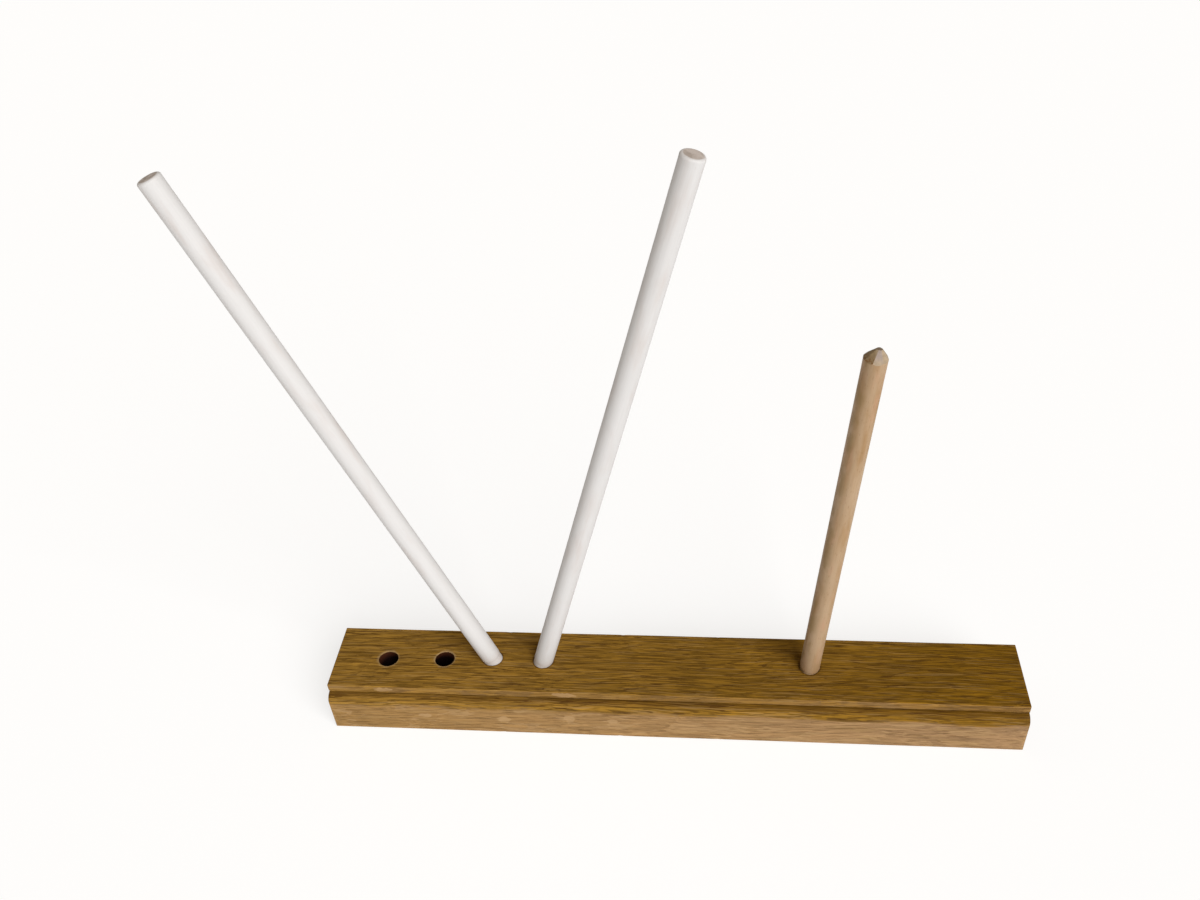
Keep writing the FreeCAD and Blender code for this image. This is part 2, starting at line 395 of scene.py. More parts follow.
def mark_block(block):
    """Write where the block is worn, where it is bored, and where its hole mouths take painted
    highlight and painted shadow, for its material to read.
    """
    empty = empty_lines()
    filled = filled_lines()
    marks = {
        "wear": arris_share,
        "rim": lambda place: rim_share(place, empty),
        "seat_shadow": lambda place: rim_share(place, filled),
        "bored": lambda place: bore_depth(place, empty + filled),
    }
    for name, measure in marks.items():
        written = block.data.attributes.new(name, "FLOAT", "POINT").data
        for index, vertex in enumerate(block.data.vertices):
            written[index].value = measure(vertex.co / MM)


def build_block():
    """The moulded oak block with its five holes."""
    mesh_data = bmesh.new()
    add_moulding(mesh_data)
    block = finish_mesh("oak_block", mesh_data, BLOCK_SHARP_ANGLE)
    cut_holes(block)
    mark_block(block)
    block.data.materials.append(oak_material())
    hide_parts("base_block")
    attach(block, "block")


# ---------------------------------------------------------------- the shafts

def place_on_axis(piece, foot, axis):
    """Stand a piece, made along its own +Z, on its foot with its own +Y to the back."""
    back = Vector((0, 1, 0))
    across = back.cross(axis)
    turn = Matrix((across, back, axis)).transposed().to_4x4()
    piece.matrix_world = Matrix.Translation(foot * MM) @ turn


def foot_profile(foot, axis, radius, rounding):
    """(height, radius) up the thinner foot and over its shoulder onto the shaft."""
    profile = []
    for turn in quarter_turn(FOOT_STEPS):
        height = rounding * (1 - math.cos(turn))
        profile.append((height, FOOT_RADIUS - rounding * (1 - math.sin(turn))))
    hole_depth = (BLOCK_HIGH.z - foot.z) / axis.z
    shoulder = hole_depth + radius * abs(axis.x / axis.z) + FOOT_MARGIN
    for step in range(1, FOOT_STEPS):
        height = rounding + (shoulder - rounding) * step / FOOT_STEPS
        profile.append((height, FOOT_RADIUS))
    for step in range(FOOT_STEPS + 1):
        share = step / FOOT_STEPS
        swell = (radius - FOOT_RADIUS) * smooth_step(share, 0, 1)
        profile.append((shoulder - SHOULDER_LENGTH * (1 - share), FOOT_RADIUS + swell))
    return profile


def shaft_profile(start, end, radius, seed):
    """(height, radius) along the shaft: turned stock is never quite even."""
    count = round((end - start) / SHAFT_SPACING)
    profile = []
    for step in range(1, count):
        height = start + (end - start) * step / count
        uneven = noise.noise(Vector((height / SHAFT_RIPPLE_LENGTH, seed, 0))) - 0.5
        profile.append((height, radius + SHAFT_RIPPLE * uneven))
    return profile


def top_profile(length, radius):
    """(height, radius) over the rounded edge of a dowel's top."""
    profile = []
    for turn in quarter_turn(DOWEL_END_STEPS):
        height = length - DOWEL_END_RADIUS * (1 - math.sin(turn))
        profile.append((height, radius - DOWEL_END_RADIUS * (1 - math.cos(turn))))
    return profile


def add_lathe(mesh_data, profile):
    """A closed turned shape about +Z from a profile of (height, radius)."""
    rings = []
    for height, radius in profile:
        places = [(radius * math.cos(a), radius * math.sin(a), height) for a in around(SHAFT_SIDES)]
        rings.append([mesh_data.verts.new(place) for place in places])
    join_rings(mesh_data, rings)
    mesh_data.faces.new(rings[0])
    mesh_data.faces.new(rings[-1])


def build_dowel(name, seed):
    """A white dowel: thinner foot, long shaft, rounded top with a bare end."""
    foot, axis, length = shaft_line(name)
    radius = MOUNTS[f"{name}_shaft"]["dims"]["r_mm"]
    profile = foot_profile(foot, axis, radius, DOWEL_END_RADIUS)
    profile += shaft_profile(profile[-1][0], length - DOWEL_END_RADIUS, radius, seed)
    profile += top_profile(length, radius)
    mesh_data = bmesh.new()
    add_lathe(mesh_data, profile)
    dowel = finish_mesh(f"white_{name}", mesh_data, DOWEL_SHARP_ANGLE)
    place_on_axis(dowel, foot, axis)
    dowel.data.materials.append(white_material(f"white_{name}_paint", seed))
    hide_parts(name)
    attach(dowel, name)


def point_planes(length, radius):
    """(point, outward normal) of every cut that makes the peg's point."""
    planes = []
    for facing, slope, drop in FACETS:
        heading = math.radians(facing)
        tilt = math.radians(slope)
        outward = Vector((math.cos(heading), math.sin(heading), 0))
        normal = outward * math.sin(tilt) + Vector((0, 0, math.cos(tilt)))
        planes.append((outward * radius + Vector((0, 0, length - drop)), normal))
    planes.append((Vector((0, 0, length - BLUNT_DROP)), BLUNT_FACING))
    return planes


def whittle(mesh_data, length, radius):
    """Cut the facets and the blunt end off the top of the shaft, and ease their edges."""
    for point, normal in point_planes(length, radius):
        everything = mesh_data.verts[:] + mesh_data.edges[:] + mesh_data.faces[:]
        cut = bmesh.ops.bisect_plane(
            mesh_data, geom=everything, plane_co=point, plane_no=normal, clear_outer=True,
        )
        rim = [item for item in cut["geom_cut"] if isinstance(item, bmesh.types.BMEdge)]
        bmesh.ops.edgenet_fill(mesh_data, edges=rim)
    bmesh.ops.recalc_face_normals(mesh_data, faces=mesh_data.faces)
    creases = []
    for edge in mesh_data.edges:
        in_point = min(vertex.co.z for vertex in edge.verts) > length - POINT_REACH
        if in_point and len(edge.link_faces) == 2 and edge.calc_face_angle() > CREASE_ANGLE:
            creases.append(edge)
    bmesh.ops.bevel(
        mesh_data, geom=creases, offset=FACET_EASE, segments=3, profile=0.5, affect="EDGES",
        clamp_overlap=True,
    )


def build_peg(name, seed):
    """The beech peg: thinner foot, shaft, whittled point."""
    foot, axis, length = shaft_line(name)
    radius = MOUNTS[f"{name}_shaft"]["dims"]["r_mm"]
    uncut = length + 1
    profile = foot_profile(foot, axis, radius, PEG_FOOT_RADIUS)
    profile += shaft_profile(profile[-1][0], uncut, radius, seed)
    mesh_data = bmesh.new()
    add_lathe(mesh_data, profile)
    whittle(mesh_data, length, radius)
    peg = finish_mesh("beech_peg", mesh_data, PEG_SHARP_ANGLE)
    place_on_axis(peg, foot, axis)
    peg.data.materials.append(beech_material(length))
    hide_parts(name)
    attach(peg, name)


# ---------------------------------------------------------------- node helpers

MIX_FIRST, MIX_SECOND, MIX_RESULT = 6, 7, 2      # the Mix node's colour sockets


class Shader:
    """Builds one material's nodes. A value is a socket, a number or a tuple."""

    def __init__(self, name):
        self.material = bpy.data.materials.new(name)
        self.material.use_nodes = True
        self.tree = self.material.node_tree
        self.surface = self.tree.nodes["Principled BSDF"]

    def feed(self, socket, value):
        if isinstance(value, bpy.types.NodeSocket):
            self.tree.links.new(value, socket)
        else:
            socket.default_value = value

    def add(self, kind, values=None, **settings):
        node = self.tree.nodes.new(kind)
        for key, value in settings.items():
            setattr(node, key, value)
        for key, value in (values or {}).items():
            self.feed(node.inputs[key], value)
        return node

    def math(self, operation, *values):
        node = self.add("ShaderNodeMath", dict(enumerate(values)), operation=operation)
        return node.outputs[0]

    def vector(self, operation, *values):
        node = self.add("ShaderNodeVectorMath", dict(enumerate(values)), operation=operation)
        return node.outputs[0]

    def squares(self, first, second):
        """The sum of two values' squares."""
        return self.math("ADD", self.math("POWER", first, 2.0), self.math("POWER", second, 2.0))

    def combine(self, x, y, z):
        return self.add("ShaderNodeCombineXYZ", {0: x, 1: y, 2: z}).outputs[0]

    def separate(self, vector):
        return self.add("ShaderNodeSeparateXYZ", {0: vector}).outputs

    def attribute(self, name):
        return self.add("ShaderNodeAttribute", attribute_name=name).outputs["Fac"]

    def place(self):
        """The object's own coordinates, in millimetres."""
        coordinates = self.add("ShaderNodeTexCoord").outputs["Object"]
        return self.vector("MULTIPLY", coordinates, (1 / MM, 1 / MM, 1 / MM))

    def facing(self):
        """The object's own X, Y and Z of the way the surface faces."""
        return self.separate(self.add("ShaderNodeTexCoord").outputs["Normal"])

    def noise(self, place, cell, detail=2.0, roughness=0.5, seed=0.0):
        """Noise from 0 to 1 whose grains are about cell millimetres along x, y and z."""
        stretch = tuple(1 / side for side in cell)
        scaled = self.vector("MULTIPLY", place, stretch)
        moved = self.vector("ADD", scaled, (seed, 1.7 * seed, -0.6 * seed))
        values = {"Vector": moved, "Scale": 1.0, "Detail": detail, "Roughness": roughness}
        return self.add("ShaderNodeTexNoise", values).outputs["Fac"]

    def step(self, value, low, high):
        """0 below low, 1 above high, smooth between; high may be below low."""
        if high < low:
            return self.math("SUBTRACT", 1.0, self.step(value, high, low))
        values = {"Value": value, "From Min": low, "From Max": high}
        node = self.add("ShaderNodeMapRange", values, interpolation_type="SMOOTHSTEP")
        return node.outputs["Result"]

    def spread(self, value, low, high):
        """0 to 1 spread over low to high."""
        values = {"Value": value, "To Min": low, "To Max": high}
        return self.add("ShaderNodeMapRange", values).outputs["Result"]

    def mix(self, share, first, second, blend="MIX"):
        node = self.add("ShaderNodeMix", data_type="RGBA", blend_type=blend)
        self.feed(node.inputs["Factor"], share)
        self.feed(node.inputs[MIX_FIRST], first)
        self.feed(node.inputs[MIX_SECOND], second)
        return node.outputs[MIX_RESULT]

    def tone(self, colour, factor):
        """A colour made lighter or darker by a factor."""
        shade = self.combine(factor, factor, factor)
        return self.mix(1.0, colour, shade, blend="MULTIPLY")

    def finish(self, colour, roughness, shine, height, relief):
        """The surface's colour, roughness and shine, with a relief millimetres deep."""
        self.feed(self.surface.inputs["Base Color"], colour)
        self.feed(self.surface.inputs["Roughness"], roughness)
        self.feed(self.surface.inputs["Specular IOR Level"], shine)
        values = {"Height": height, "Distance": relief * MM, "Strength": 1.0}
        bump = self.add("ShaderNodeBump", values)
        self.feed(self.surface.inputs["Normal"], bump.outputs["Normal"])
        return self.material


# ---------------------------------------------------------------- oak

GOLD_LEFT = (0.272, 0.146, 0.024, 1)
GOLD_RIGHT = (0.190, 0.093, 0.005, 1)
TAN_STREAK = (0.330, 0.205, 0.080, 1)
# The upright faces' pale tones: partly their own lighter wood, partly painted sheen.
PALE_LEFT = (0.280, 0.158, 0.050, 1)
PALE_RIGHT = (0.310, 0.185, 0.088, 1)
END_GRAIN = (0.150, 0.078, 0.022, 1)
PORE = (0.075, 0.030, 0.005, 1)
RAY_ON_TOP = (0.105, 0.050, 0.006, 1)
RAY_ON_SIDE = (0.430, 0.270, 0.125, 1)
# Painted highlight for the eased mouths of the empty holes.
RIM_HIGHLIGHT = (0.420, 0.300, 0.170, 1)
# Painted shade down the holes, darker deeper in.
BORE_SHADE = (0.050, 0.014, 0.006, 1)
BORE_DEEP_SHADE = (0.006, 0.002, 0.002, 1)
OAK_SHINE = 0.07
OAK_RELIEF = 0.06       # mm

# The growth rings, in mm: where their pith lies, below and in front of the block, how much it
# climbs along the block, and how far apart the years are.
PITH_Y = -34.0
PITH_Z = -58.0
PITH_CLIMB = 0.11
YEAR_WIDTH = 2.6

# Broad ray flecks on the front: x and z of the middle, half length and half height, in mm.
FLECKS = [
    (-146.0, 26.8, 5.2, 1.7),
    (-52.0, 26.8, 6.4, 1.7),
    (-125.0, 12.0, 4.0, 1.6),
    (-84.0, 11.0, 3.6, 2.4),
    (-50.0, 13.0, 3.4, 2.6),
    (-28.0, 12.0, 3.0, 2.0),
]


def oak_grain(shader, place):
    """Coordinates that wander with the grain."""
    broad = shader.noise(place, (110, 50, 50), detail=1.0)
    broad_across = shader.noise(place, (90, 40, 40), detail=1.0, seed=9.0)
    fine = shader.noise(place, (18, 7, 7), detail=2.0, seed=4.0)
    shift_y = shader.math("MULTIPLY_ADD", broad, 9.0, shader.math("MULTIPLY", fine, 0.9))
    shift_z = shader.math("MULTIPLY_ADD", broad_across, 6.0, shader.math("MULTIPLY", fine, 0.8))
    return shader.vector("ADD", place, shader.combine(0.0, shift_y, shift_z))


def oak_early_wood(shader, grain):
    """1 in the porous wood at the start of each year's growth, 0 in the rest."""
    x, y, z = shader.separate(grain)
    off_y = shader.math("SUBTRACT", y, PITH_Y)
    off_z = shader.math("MULTIPLY_ADD", x, -PITH_CLIMB, shader.math("SUBTRACT", z, PITH_Z))
    from_pith = shader.math("SQRT", shader.squares(off_y, off_z))
    uneven = shader.noise(grain, (90, 14, 14), detail=1.0, seed=2.0)
    years = shader.math("MULTIPLY_ADD", from_pith, 1 / YEAR_WIDTH, uneven)
    return shader.step(shader.math("FRACT", years), 0.30, 0.02)


def oak_upright(shader, place, edge, fibre):
    """Where the pale tone of the upright faces shows, 0 to 1; that tone is partly the faces' own and
    partly painted sheen.

    On the front the oil's golden tone, with no painted sheen, reaches down past the ovolo and partly
    covers the lip."""
    x, y, z = shader.separate(place)
    level = shader.math("MULTIPLY_ADD", edge, 9.0, z)
    level = shader.math("MULTIPLY_ADD", fibre, 4.0, level)
    below = shader.step(level, SHELF + 3.2, SHELF - 0.2)
    on_lip = shader.step(z, UNDER_LIP - 0.3, UNDER_LIP + 0.2)
    lip = shader.math("MULTIPLY", on_lip, shader.spread(edge, 0.05, 0.65))
    behind = shader.step(y, 0.0, 5.0)
    shown = shader.math("MAXIMUM", shader.math("MAXIMUM", below, lip), behind)
    faces_out = shader.step(shader.math("ABSOLUTE", shader.facing()["Y"]), 0.70, 0.95)
    return shader.math("MULTIPLY", faces_out, shown)


def oak_tones(shader, place, cloud, upright):
    """Golden where the block looks up, paler on its upright faces, partly by painted sheen; both
    drift along it.
    """
    length = BLOCK_HIGH.x - BLOCK_LOW.x
    x, y, z = shader.separate(place)
    along = shader.spread(shader.math("MULTIPLY_ADD", x, 1 / length, 0.5), 0.0, 1.0)
    gold = shader.mix(along, GOLD_LEFT, GOLD_RIGHT)
    gold = shader.tone(gold, shader.spread(cloud, 0.72, 1.28))
    pale = shader.mix(along, PALE_LEFT, PALE_RIGHT)
    pale = shader.tone(pale, shader.spread(cloud, 0.88, 1.12))
    return shader.mix(upright, gold, pale)


def oak_years(shader, place, early, colour):
    """The early wood of each year a little darker, stronger in some places than in others."""
    strength = shader.step(shader.noise(place, (60, 30, 30), detail=1.0, seed=3.0), 0.3, 0.7)
    share = shader.math("MULTIPLY", early, shader.spread(strength, 0.15, 0.45))
    return shader.mix(share, colour, shader.tone(colour, 0.62))


def oak_streaks(shader, grain, fibre, upright, colour):
    """Soft darker and lighter streaks, drawn out along the block."""
    depth = shader.spread(upright, 1.15, 0.80)
    swing = shader.math("MULTIPLY", shader.math("SUBTRACT", fibre, 0.5), depth)
    colour = shader.tone(colour, shader.math("MULTIPLY_ADD", swing, 2.0, 1.10))
    band = shader.noise(grain, (70, 1.7, 1.7), detail=2.0, seed=17.0)
    colour = shader.tone(colour, shader.spread(band, 0.76, 1.24))
    light = shader.step(shader.noise(grain, (26, 0.6, 1.6), detail=2.0, seed=15.0), 0.52, 0.66)
    return shader.mix(shader.math("MULTIPLY", light, 0.45), colour, TAN_STREAK)


def oak_rays(shader, grain):
    """1 in the thin medullary rays."""
    return shader.step(shader.noise(grain, (20, 0.42, 5.0), detail=2.0, seed=8.0), 0.54, 0.60)


def oak_pores(shader, grain, early):
    """1 in the pores, which are wider in the early wood."""
    depth = shader.noise(grain, (13, 0.30, 0.30), detail=1.0, seed=7.0)
    limit = shader.math("MULTIPLY_ADD", early, -0.06, 0.60)
    return shader.step(shader.math("SUBTRACT", depth, limit), 0.0, 0.04)


def oak_lines(shader, rays, pores, upright, colour):
    """Rays, dark on the top and pale on the upright faces, and the dark pores."""
    ray_colour = shader.mix(upright, RAY_ON_TOP, RAY_ON_SIDE)
    ray_share = shader.math("MULTIPLY", rays, shader.spread(upright, 0.85, 0.42))
    colour = shader.mix(ray_share, colour, ray_colour)
    pore_share = shader.math("MULTIPLY", pores, shader.spread(upright, 0.85, 0.50))
    return shader.mix(pore_share, colour, PORE)


def oak_flecks(shader, place, colour):
    """The broad pale flecks of the front."""
    ragged = shader.noise(place, (2.6, 1.2, 1.2), detail=2.0, seed=6.0)
    x, y, z = shader.separate(place)
    flecks = 0.0
    for middle_x, middle_z, half_length, half_height in FLECKS:
        off_x = shader.math("MULTIPLY_ADD", x, 1 / half_length, -middle_x / half_length)
        off_z = shader.math("MULTIPLY_ADD", z, 1 / half_height, -middle_z / half_height)
        reach = shader.math("ADD", shader.squares(off_x, off_z), shader.spread(ragged, -0.9, 0.9))
        flecks = shader.math("MAXIMUM", flecks, shader.step(reach, 1.0, 0.6))
    in_front = shader.step(y, LIP_FACE + 1.5, LIP_FACE + 0.5)
    flecks = shader.math("MULTIPLY", flecks, in_front)
    return shader.mix(shader.math("MULTIPLY", flecks, 0.7), colour, RAY_ON_SIDE)


def oak_quirk_shade(shader, place, edge, colour):
    """Painted shade in the groove under the lip and over the top of the ovolo, drawn toward the pore
    colour.
    """
    x, y, z = shader.separate(place)
    above = shader.step(z, SHELF - 1.8, SHELF + 0.1)
    in_groove = shader.math("MULTIPLY", above, shader.step(z, UNDER_LIP + 0.4, UNDER_LIP - 0.1))
    in_front = shader.step(y, LIP_FACE + 2.5, LIP_FACE + 1.5)
    painted_quirk_shade = shader.math("MULTIPLY", in_groove, in_front)
    painted_quirk_shade = shader.math("MULTIPLY", painted_quirk_shade, shader.spread(edge, 0.12, 0.68))
    # painted shade: groove and ovolo top mixed toward the pore colour
    return shader.mix(painted_quirk_shade, colour, PORE)


def oak_sawn_end(shader, early, fibre):
    """The colour of the sawn ends: darker, with the years' arcs."""
    colour = shader.mix(early, END_GRAIN, shader.tone(END_GRAIN, 0.55))
    return shader.tone(colour, shader.spread(fibre, 0.75, 1.25))


def oak_holes(shader, edge, fibre, colour):
    """Painted highlight on the mouths of the empty holes, painted shadow round the feet of the
    filled ones, and painted shade down the bores.
    """
    # painted highlight: the mouths of the empty holes lightened
    rim = shader.math("MULTIPLY", shader.attribute("rim"), shader.spread(edge, 0.1, 0.7))
    colour = shader.mix(rim, colour, RIM_HIGHLIGHT)
    # painted shadow: a dark ring round the foot of each dowel and of the peg
    seat_shadow = shader.math("MULTIPLY", shader.attribute("seat_shadow"), 0.6)
    colour = shader.mix(seat_shadow, colour, PORE)
    # painted shade: the bores darken toward near black with depth
    bored = shader.attribute("bored")
    painted_bore_shade = shader.mix(shader.step(bored, 0.5, 5.0), BORE_SHADE, BORE_DEEP_SHADE)
    painted_bore_shade = shader.tone(painted_bore_shade, shader.spread(fibre, 0.6, 1.4))
    return shader.mix(shader.step(bored, 0.15, 0.7), colour, painted_bore_shade)


def oak_relief(shader, place, on_end, fibre, rays, pores):
    """Pores and rays lie below the fibres, and the ends show the saw."""
    saw_marks = shader.noise(place, (3, 14, 0.8), detail=2.0, seed=11.0)
    height = shader.math("MULTIPLY", pores, -1.0)
    height = shader.math("MULTIPLY_ADD", rays, -0.25, height)
    height = shader.math("MULTIPLY_ADD", fibre, 0.5, height)
    return shader.math("MULTIPLY_ADD", shader.math("MULTIPLY", on_end, saw_marks), 1.5, height)


def oak_material():
    """Oiled oak, its grain running along the block."""
    shader = Shader("oiled_oak")
    place = shader.place()
    grain = oak_grain(shader, place)
    cloud = shader.noise(place, (38, 16, 16), detail=3.0, seed=1.0)
    edge = shader.noise(place, (32, 5, 5), detail=3.0, seed=12.0)
    fibre = shader.noise(grain, (30, 0.55, 0.62), detail=3.0, roughness=0.6, seed=5.0)
    early = oak_early_wood(shader, grain)
    rays = oak_rays(shader, grain)
    pores = oak_pores(shader, grain, early)
    upright = oak_upright(shader, place, edge, fibre)

    colour = oak_tones(shader, place, cloud, upright)
    colour = oak_years(shader, place, early, colour)
    colour = oak_streaks(shader, grain, fibre, upright, colour)
    colour = oak_lines(shader, rays, pores, upright, colour)
    colour = oak_flecks(shader, place, colour)
    colour = oak_quirk_shade(shader, place, edge, colour)
    on_end = shader.step(shader.math("ABSOLUTE", shader.facing()["X"]), 0.6, 0.9)
    colour = shader.mix(on_end, colour, oak_sawn_end(shader, early, fibre))
    worn = shader.math("MULTIPLY", shader.attribute("wear"), shader.spread(edge, 0.1, 0.6))
    colour = shader.mix(worn, colour, shader.tone(colour, 1.25))
    colour = oak_holes(shader, edge, fibre, colour)

    roughness = shader.spread(cloud, 0.46, 0.60)
    roughness = shader.math("MULTIPLY_ADD", pores, 0.2, roughness)
    roughness = shader.math("MULTIPLY_ADD", worn, -0.12, roughness)
    height = oak_relief(shader, place, on_end, fibre, rays, pores)
    return shader.finish(colour, roughness, OAK_SHINE, height, OAK_RELIEF)


# ---------------------------------------------------------------- white dowels

WHITE = (0.635, 0.625, 0.622, 1)
WHITE_WARM = (0.585, 0.540, 0.520, 1)
BARE_END = (0.555, 0.490, 0.450, 1)
BARE_END_DARK = (0.400, 0.340, 0.300, 1)
PAINT_SHINE = 0.3
PAINT_RELIEF = 0.03     # mm


def bare_end(shader, place, seed):
    """(where the ends are bare wood, its colour); the paint's edge there is ragged."""
    x, y, z = shader.separate(place)
    cloud = shader.noise(place, (3.5, 3.5, 3.5), detail=2.0, seed=seed + 9)
    from_axis = shader.math("SQRT", shader.squares(x, y))
    from_axis = shader.math("MULTIPLY_ADD", cloud, 1.2, from_axis)
    on_end = shader.step(shader.math("ABSOLUTE", shader.facing()["Z"]), 0.75, 0.95)
    on_end = shader.math("MULTIPLY", on_end, shader.step(from_axis, 4.9, 4.2))
    grain = shader.noise(place, (0.4, 0.4, 3), detail=3.0, roughness=0.7, seed=seed + 8)
    colour = shader.mix(shader.step(cloud, 0.35, 0.65), BARE_END, BARE_END_DARK)
    return on_end, shader.tone(colour, shader.spread(grain, 0.75, 1.25))


def white_material(name, seed):
    """White paint with faint grain and specks, handled dirty at the foot, bare on the ends."""
    shader = Shader(name)
    place = shader.place()
    cloud = shader.noise(place, (5, 5, 24), detail=3.0, seed=seed)
    grain = shader.noise(place, (0.45, 0.45, 30), detail=3.0, roughness=0.6, seed=seed + 3)
    speck = shader.noise(place, (0.5, 0.5, 2.2), detail=1.0, seed=seed + 5)
    colour = shader.mix(shader.step(cloud, 0.45, 0.85), WHITE, WHITE_WARM)
    colour = shader.tone(colour, shader.spread(grain, 0.94, 1.05))
    marks = shader.step(speck, 0.70, 0.78)
    colour = shader.mix(shader.math("MULTIPLY", marks, 0.35), colour, WHITE_WARM)
    on_end, bare = bare_end(shader, place, seed)
    colour = shader.mix(on_end, colour, bare)
    near_foot = shader.step(shader.separate(place)["Z"], 19.0, 14.0)
    colour = shader.mix(shader.math("MULTIPLY", near_foot, 0.5), colour, WHITE_WARM)

    roughness = shader.spread(cloud, 0.48, 0.62)
    height = shader.math("MULTIPLY_ADD", marks, -0.6, grain)
    return shader.finish(colour, roughness, PAINT_SHINE, height, PAINT_RELIEF)


# ---------------------------------------------------------------- beech peg

BEECH = (0.412, 0.284, 0.172, 1)
BEECH_DARK = (0.330, 0.195, 0.085, 1)
BEECH_ROSE = (0.440, 0.255, 0.150, 1)
BEECH_FLECK = (0.260, 0.145, 0.060, 1)
# Painted shade for the shaft's left side.
BEECH_LEFT_SHADE = (0.235, 0.150, 0.045, 1)
POINT_TAN = (0.375, 0.285, 0.190, 1)
POINT_GREY = (0.330, 0.262, 0.222, 1)
# Painted shade for the point's facets that face left.
POINT_BROWN = (0.255, 0.180, 0.095, 1)
POINT_SHADE_PATCH = (0.200, 0.105, 0.040, 1)
BLUNT_BROWN = (0.160, 0.110, 0.065, 1)
BEECH_SHINE = 0.3
BEECH_RELIEF = 0.04     # mm


def beech_left_shade(shader, place, colour):
    """Painted shade, in patches, down the shaft's left side."""
    left_shade = shader.noise(place, (5, 5, 11), detail=3.0, seed=9.0)
    on_left = shader.step(shader.separate(place)["X"], 0.0, -4.5)
    left_shade = shader.math("MULTIPLY", shader.step(left_shade, 0.40, 0.62), on_left)
    return shader.mix(shader.math("MULTIPLY", left_shade, 0.55), colour, BEECH_LEFT_SHADE)


def beech_shaft(shader, place, cloud, fibre, flecks):
    """Sanded beech with darker and rosy patches and short dark flecks."""
    colour = shader.mix(shader.step(cloud, 0.40, 0.75), BEECH, BEECH_DARK)
    rose = shader.noise(place, (4, 4, 15), detail=2.0, seed=3.0)
    rose = shader.math("MULTIPLY", shader.step(rose, 0.5, 0.8), 0.7)
    colour = shader.mix(rose, colour, BEECH_ROSE)
    colour = shader.tone(colour, shader.spread(fibre, 0.86, 1.14))
    colour = shader.mix(shader.math("MULTIPLY", flecks, 0.55), colour, BEECH_FLECK)
    return beech_left_shade(shader, place, colour)


def beech_facets(shader, place, cloud, length):
    """The point's facets cut across the grain: grey in front, and painted shade, brown with darker
    patches, on the facets facing left.
    """
    x, y, z = shader.separate(place)
    face_x = shader.facing()["X"]
    to_left = shader.math("MULTIPLY", shader.step(face_x, -0.02, -0.50), shader.step(x, 0.4, -1.4))
    in_front = shader.step(shader.math("ABSOLUTE", face_x), 0.55, 0.15)
    grey = shader.math("MULTIPLY", in_front, shader.step(z, length - 5.0, length - 2.2))
    colour = shader.mix(grey, POINT_TAN, POINT_GREY)
    # painted shade on the facets facing left, with darker patches lower down
    colour = shader.mix(to_left, colour, POINT_BROWN)
    colour = shader.tone(colour, shader.spread(cloud, 0.70, 1.30))
    patches = shader.noise(place, (1.2, 1.2, 0.9), detail=2.0, seed=13.0)
    facet_shade_patches = shader.math("MULTIPLY", to_left, shader.step(z, length - 2.5, length - 4.5))
    facet_shade_patches = shader.math("MULTIPLY", facet_shade_patches, shader.step(patches, 0.40, 0.60))
    return shader.mix(facet_shade_patches, colour, POINT_SHADE_PATCH)


def beech_material(length):
    """Sanded beech for a peg of this length, its grain along the peg, with a whittled point."""
    shader = Shader("sanded_beech")
    place = shader.place()
    upward = shader.facing()["Z"]
    cloud = shader.noise(place, (6, 6, 32), detail=3.0)
    fibre = shader.noise(place, (0.4, 0.4, 18), detail=3.0, roughness=0.6, seed=5.0)
    fleck_noise = shader.noise(place, (0.35, 1.2, 2.4), detail=1.0, seed=7.0)
    flecks = shader.step(fleck_noise, 0.66, 0.72)
    colour = beech_shaft(shader, place, cloud, fibre, flecks)
    near_top = shader.step(shader.separate(place)["Z"], length - 8, length - 5)
    on_point = shader.math("MULTIPLY", shader.step(upward, 0.20, 0.55), near_top)
    point_cloud = shader.noise(place, (1.6, 1.6, 1.6), detail=3.0, seed=11.0)
    colour = shader.mix(on_point, colour, beech_facets(shader, place, point_cloud, length))
    blunt = shader.step(upward, 0.9, 0.98)
    colour = shader.mix(shader.math("MULTIPLY", blunt, 0.8), colour, BLUNT_BROWN)

    roughness = shader.spread(cloud, 0.50, 0.66)
    height = shader.math("MULTIPLY_ADD", flecks, -0.6, fibre)
    height = shader.math("MULTIPLY_ADD", shader.math("MULTIPLY", on_point, point_cloud), 2.0, height)
    return shader.finish(colour, roughness, BEECH_SHINE, height, BEECH_RELIEF)


# ---------------------------------------------------------------- stage

FLOOR_SIDE = 12.0
FLOOR_DROP = 0.0001                 # m, so that it doesn't touch the block's bottom face
FLOOR_ALBEDO = 0.37
FLOOR_GLOW = 0.69
SKY = (0.215, 0.180, 0.135, 1)
SUN_STRENGTH = 3.12
SUN_SIZE = math.radians(46)
SUN_HEADING = math.radians(38)      # from straight in front towards the right
SUN_HEIGHT = math.radians(38)


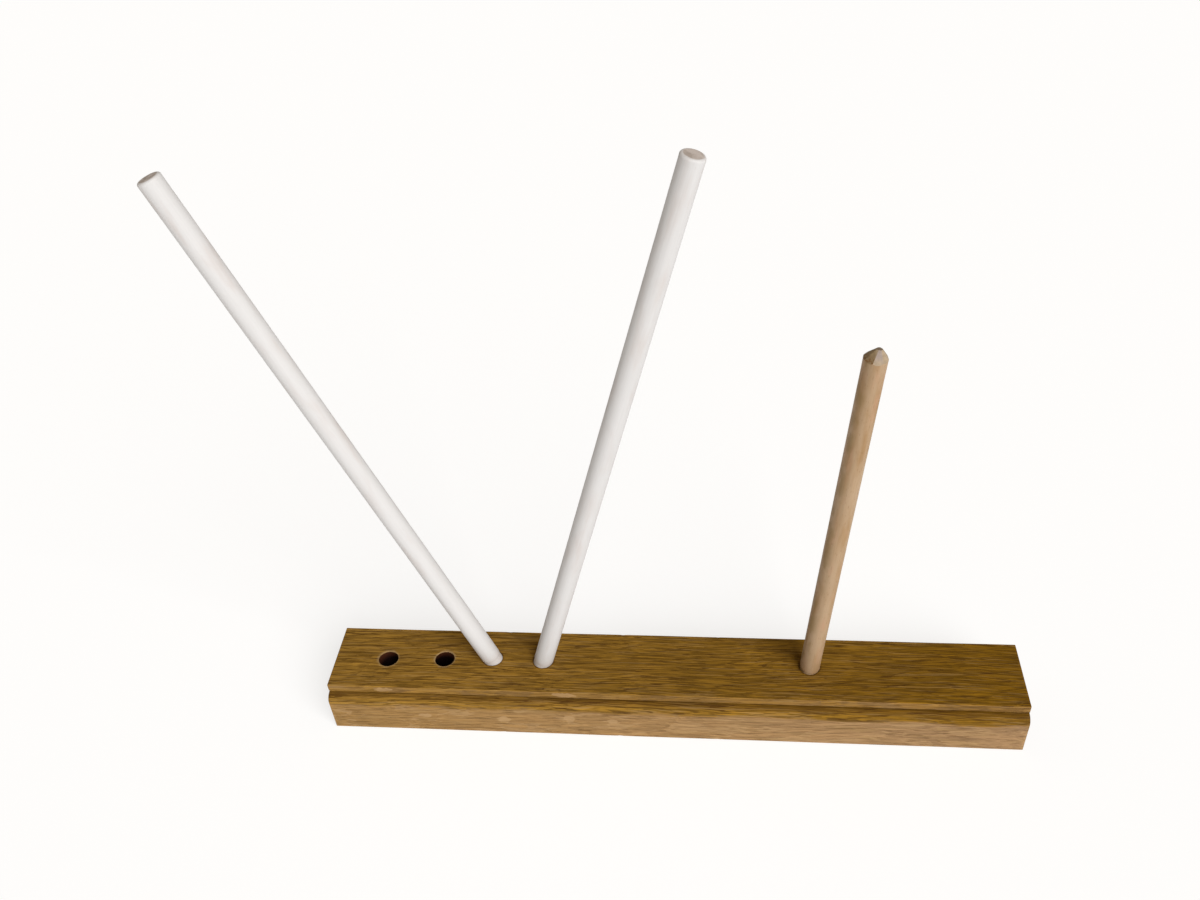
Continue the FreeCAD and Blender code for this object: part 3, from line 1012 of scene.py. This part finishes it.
def add_floor():
    """A wide pale floor, lit a little from within like a photo studio's sweep."""
    half = FLOOR_SIDE / 2
    mesh = bpy.data.meshes.new("floor")
    corners = [(-half, -half, 0), (half, -half, 0), (half, half, 0), (-half, half, 0)]
    mesh.from_pydata(corners, [], [(0, 1, 2, 3)])
    floor = bpy.data.objects.new("floor", mesh)
    floor.location.z = -FLOOR_DROP
    bpy.context.collection.objects.link(floor)
    shader = Shader("pale_floor")
    settings = {
        "Base Color": (FLOOR_ALBEDO, FLOOR_ALBEDO, FLOOR_ALBEDO, 1),
        "Roughness": 0.9,
        "Specular IOR Level": 0.0,
        "Emission Color": (1, 1, 1, 1),
        "Emission Strength": FLOOR_GLOW,
    }
    for name, value in settings.items():
        shader.surface.inputs[name].default_value = value
    mesh.materials.append(shader.material)


def add_light():
    """An even warm sky and one soft sun from the front right."""
    world = bpy.data.worlds.new("studio")
    world.use_nodes = True
    background = world.node_tree.nodes["Background"]
    background.inputs["Color"].default_value = SKY
    bpy.context.scene.world = world
    lamp = bpy.data.lights.new("key", "SUN")
    lamp.energy = SUN_STRENGTH
    lamp.angle = SUN_SIZE
    key = bpy.data.objects.new("key", lamp)
    bpy.context.collection.objects.link(key)
    to_light = Vector((
        math.sin(SUN_HEADING) * math.cos(SUN_HEIGHT),
        -math.cos(SUN_HEADING) * math.cos(SUN_HEIGHT),
        math.sin(SUN_HEIGHT),
    ))
    key.rotation_mode = "QUATERNION"
    key.rotation_quaternion = to_light.to_track_quat("Z", "Y")


def add_camera():
    """The camera the photo was taken with, as solved from the photo."""
    forward = Vector((
        math.sin(CAMERA_HEADING) * math.cos(CAMERA_PITCH),
        math.cos(CAMERA_HEADING) * math.cos(CAMERA_PITCH),
        -math.sin(CAMERA_PITCH),
    ))
    level = Vector((math.cos(CAMERA_HEADING), -math.sin(CAMERA_HEADING), 0))
    above = level.cross(forward)
    right = level * math.cos(CAMERA_ROLL) + above * math.sin(CAMERA_ROLL)
    upwards = above * math.cos(CAMERA_ROLL) - level * math.sin(CAMERA_ROLL)
    lens = bpy.data.cameras.new("camera")
    lens.sensor_width = CAMERA_SENSOR
    lens.lens = CAMERA_LENS
    lens.clip_end = CAMERA_REACH
    camera = bpy.data.objects.new("camera", lens)
    bpy.context.collection.objects.link(camera)
    turn = Matrix((right, upwards, -forward)).transposed().to_4x4()
    camera.matrix_world = Matrix.Translation(CAMERA_PLACE) @ turn
    bpy.context.scene.camera = camera


bpy.context.scene.view_settings.view_transform = "Standard"
add_camera()
add_light()
add_floor()
build_block()
build_dowel("left_dowel", 1.0)
build_dowel("right_dowel", 31.0)
build_peg("pointed_peg", 61.0)
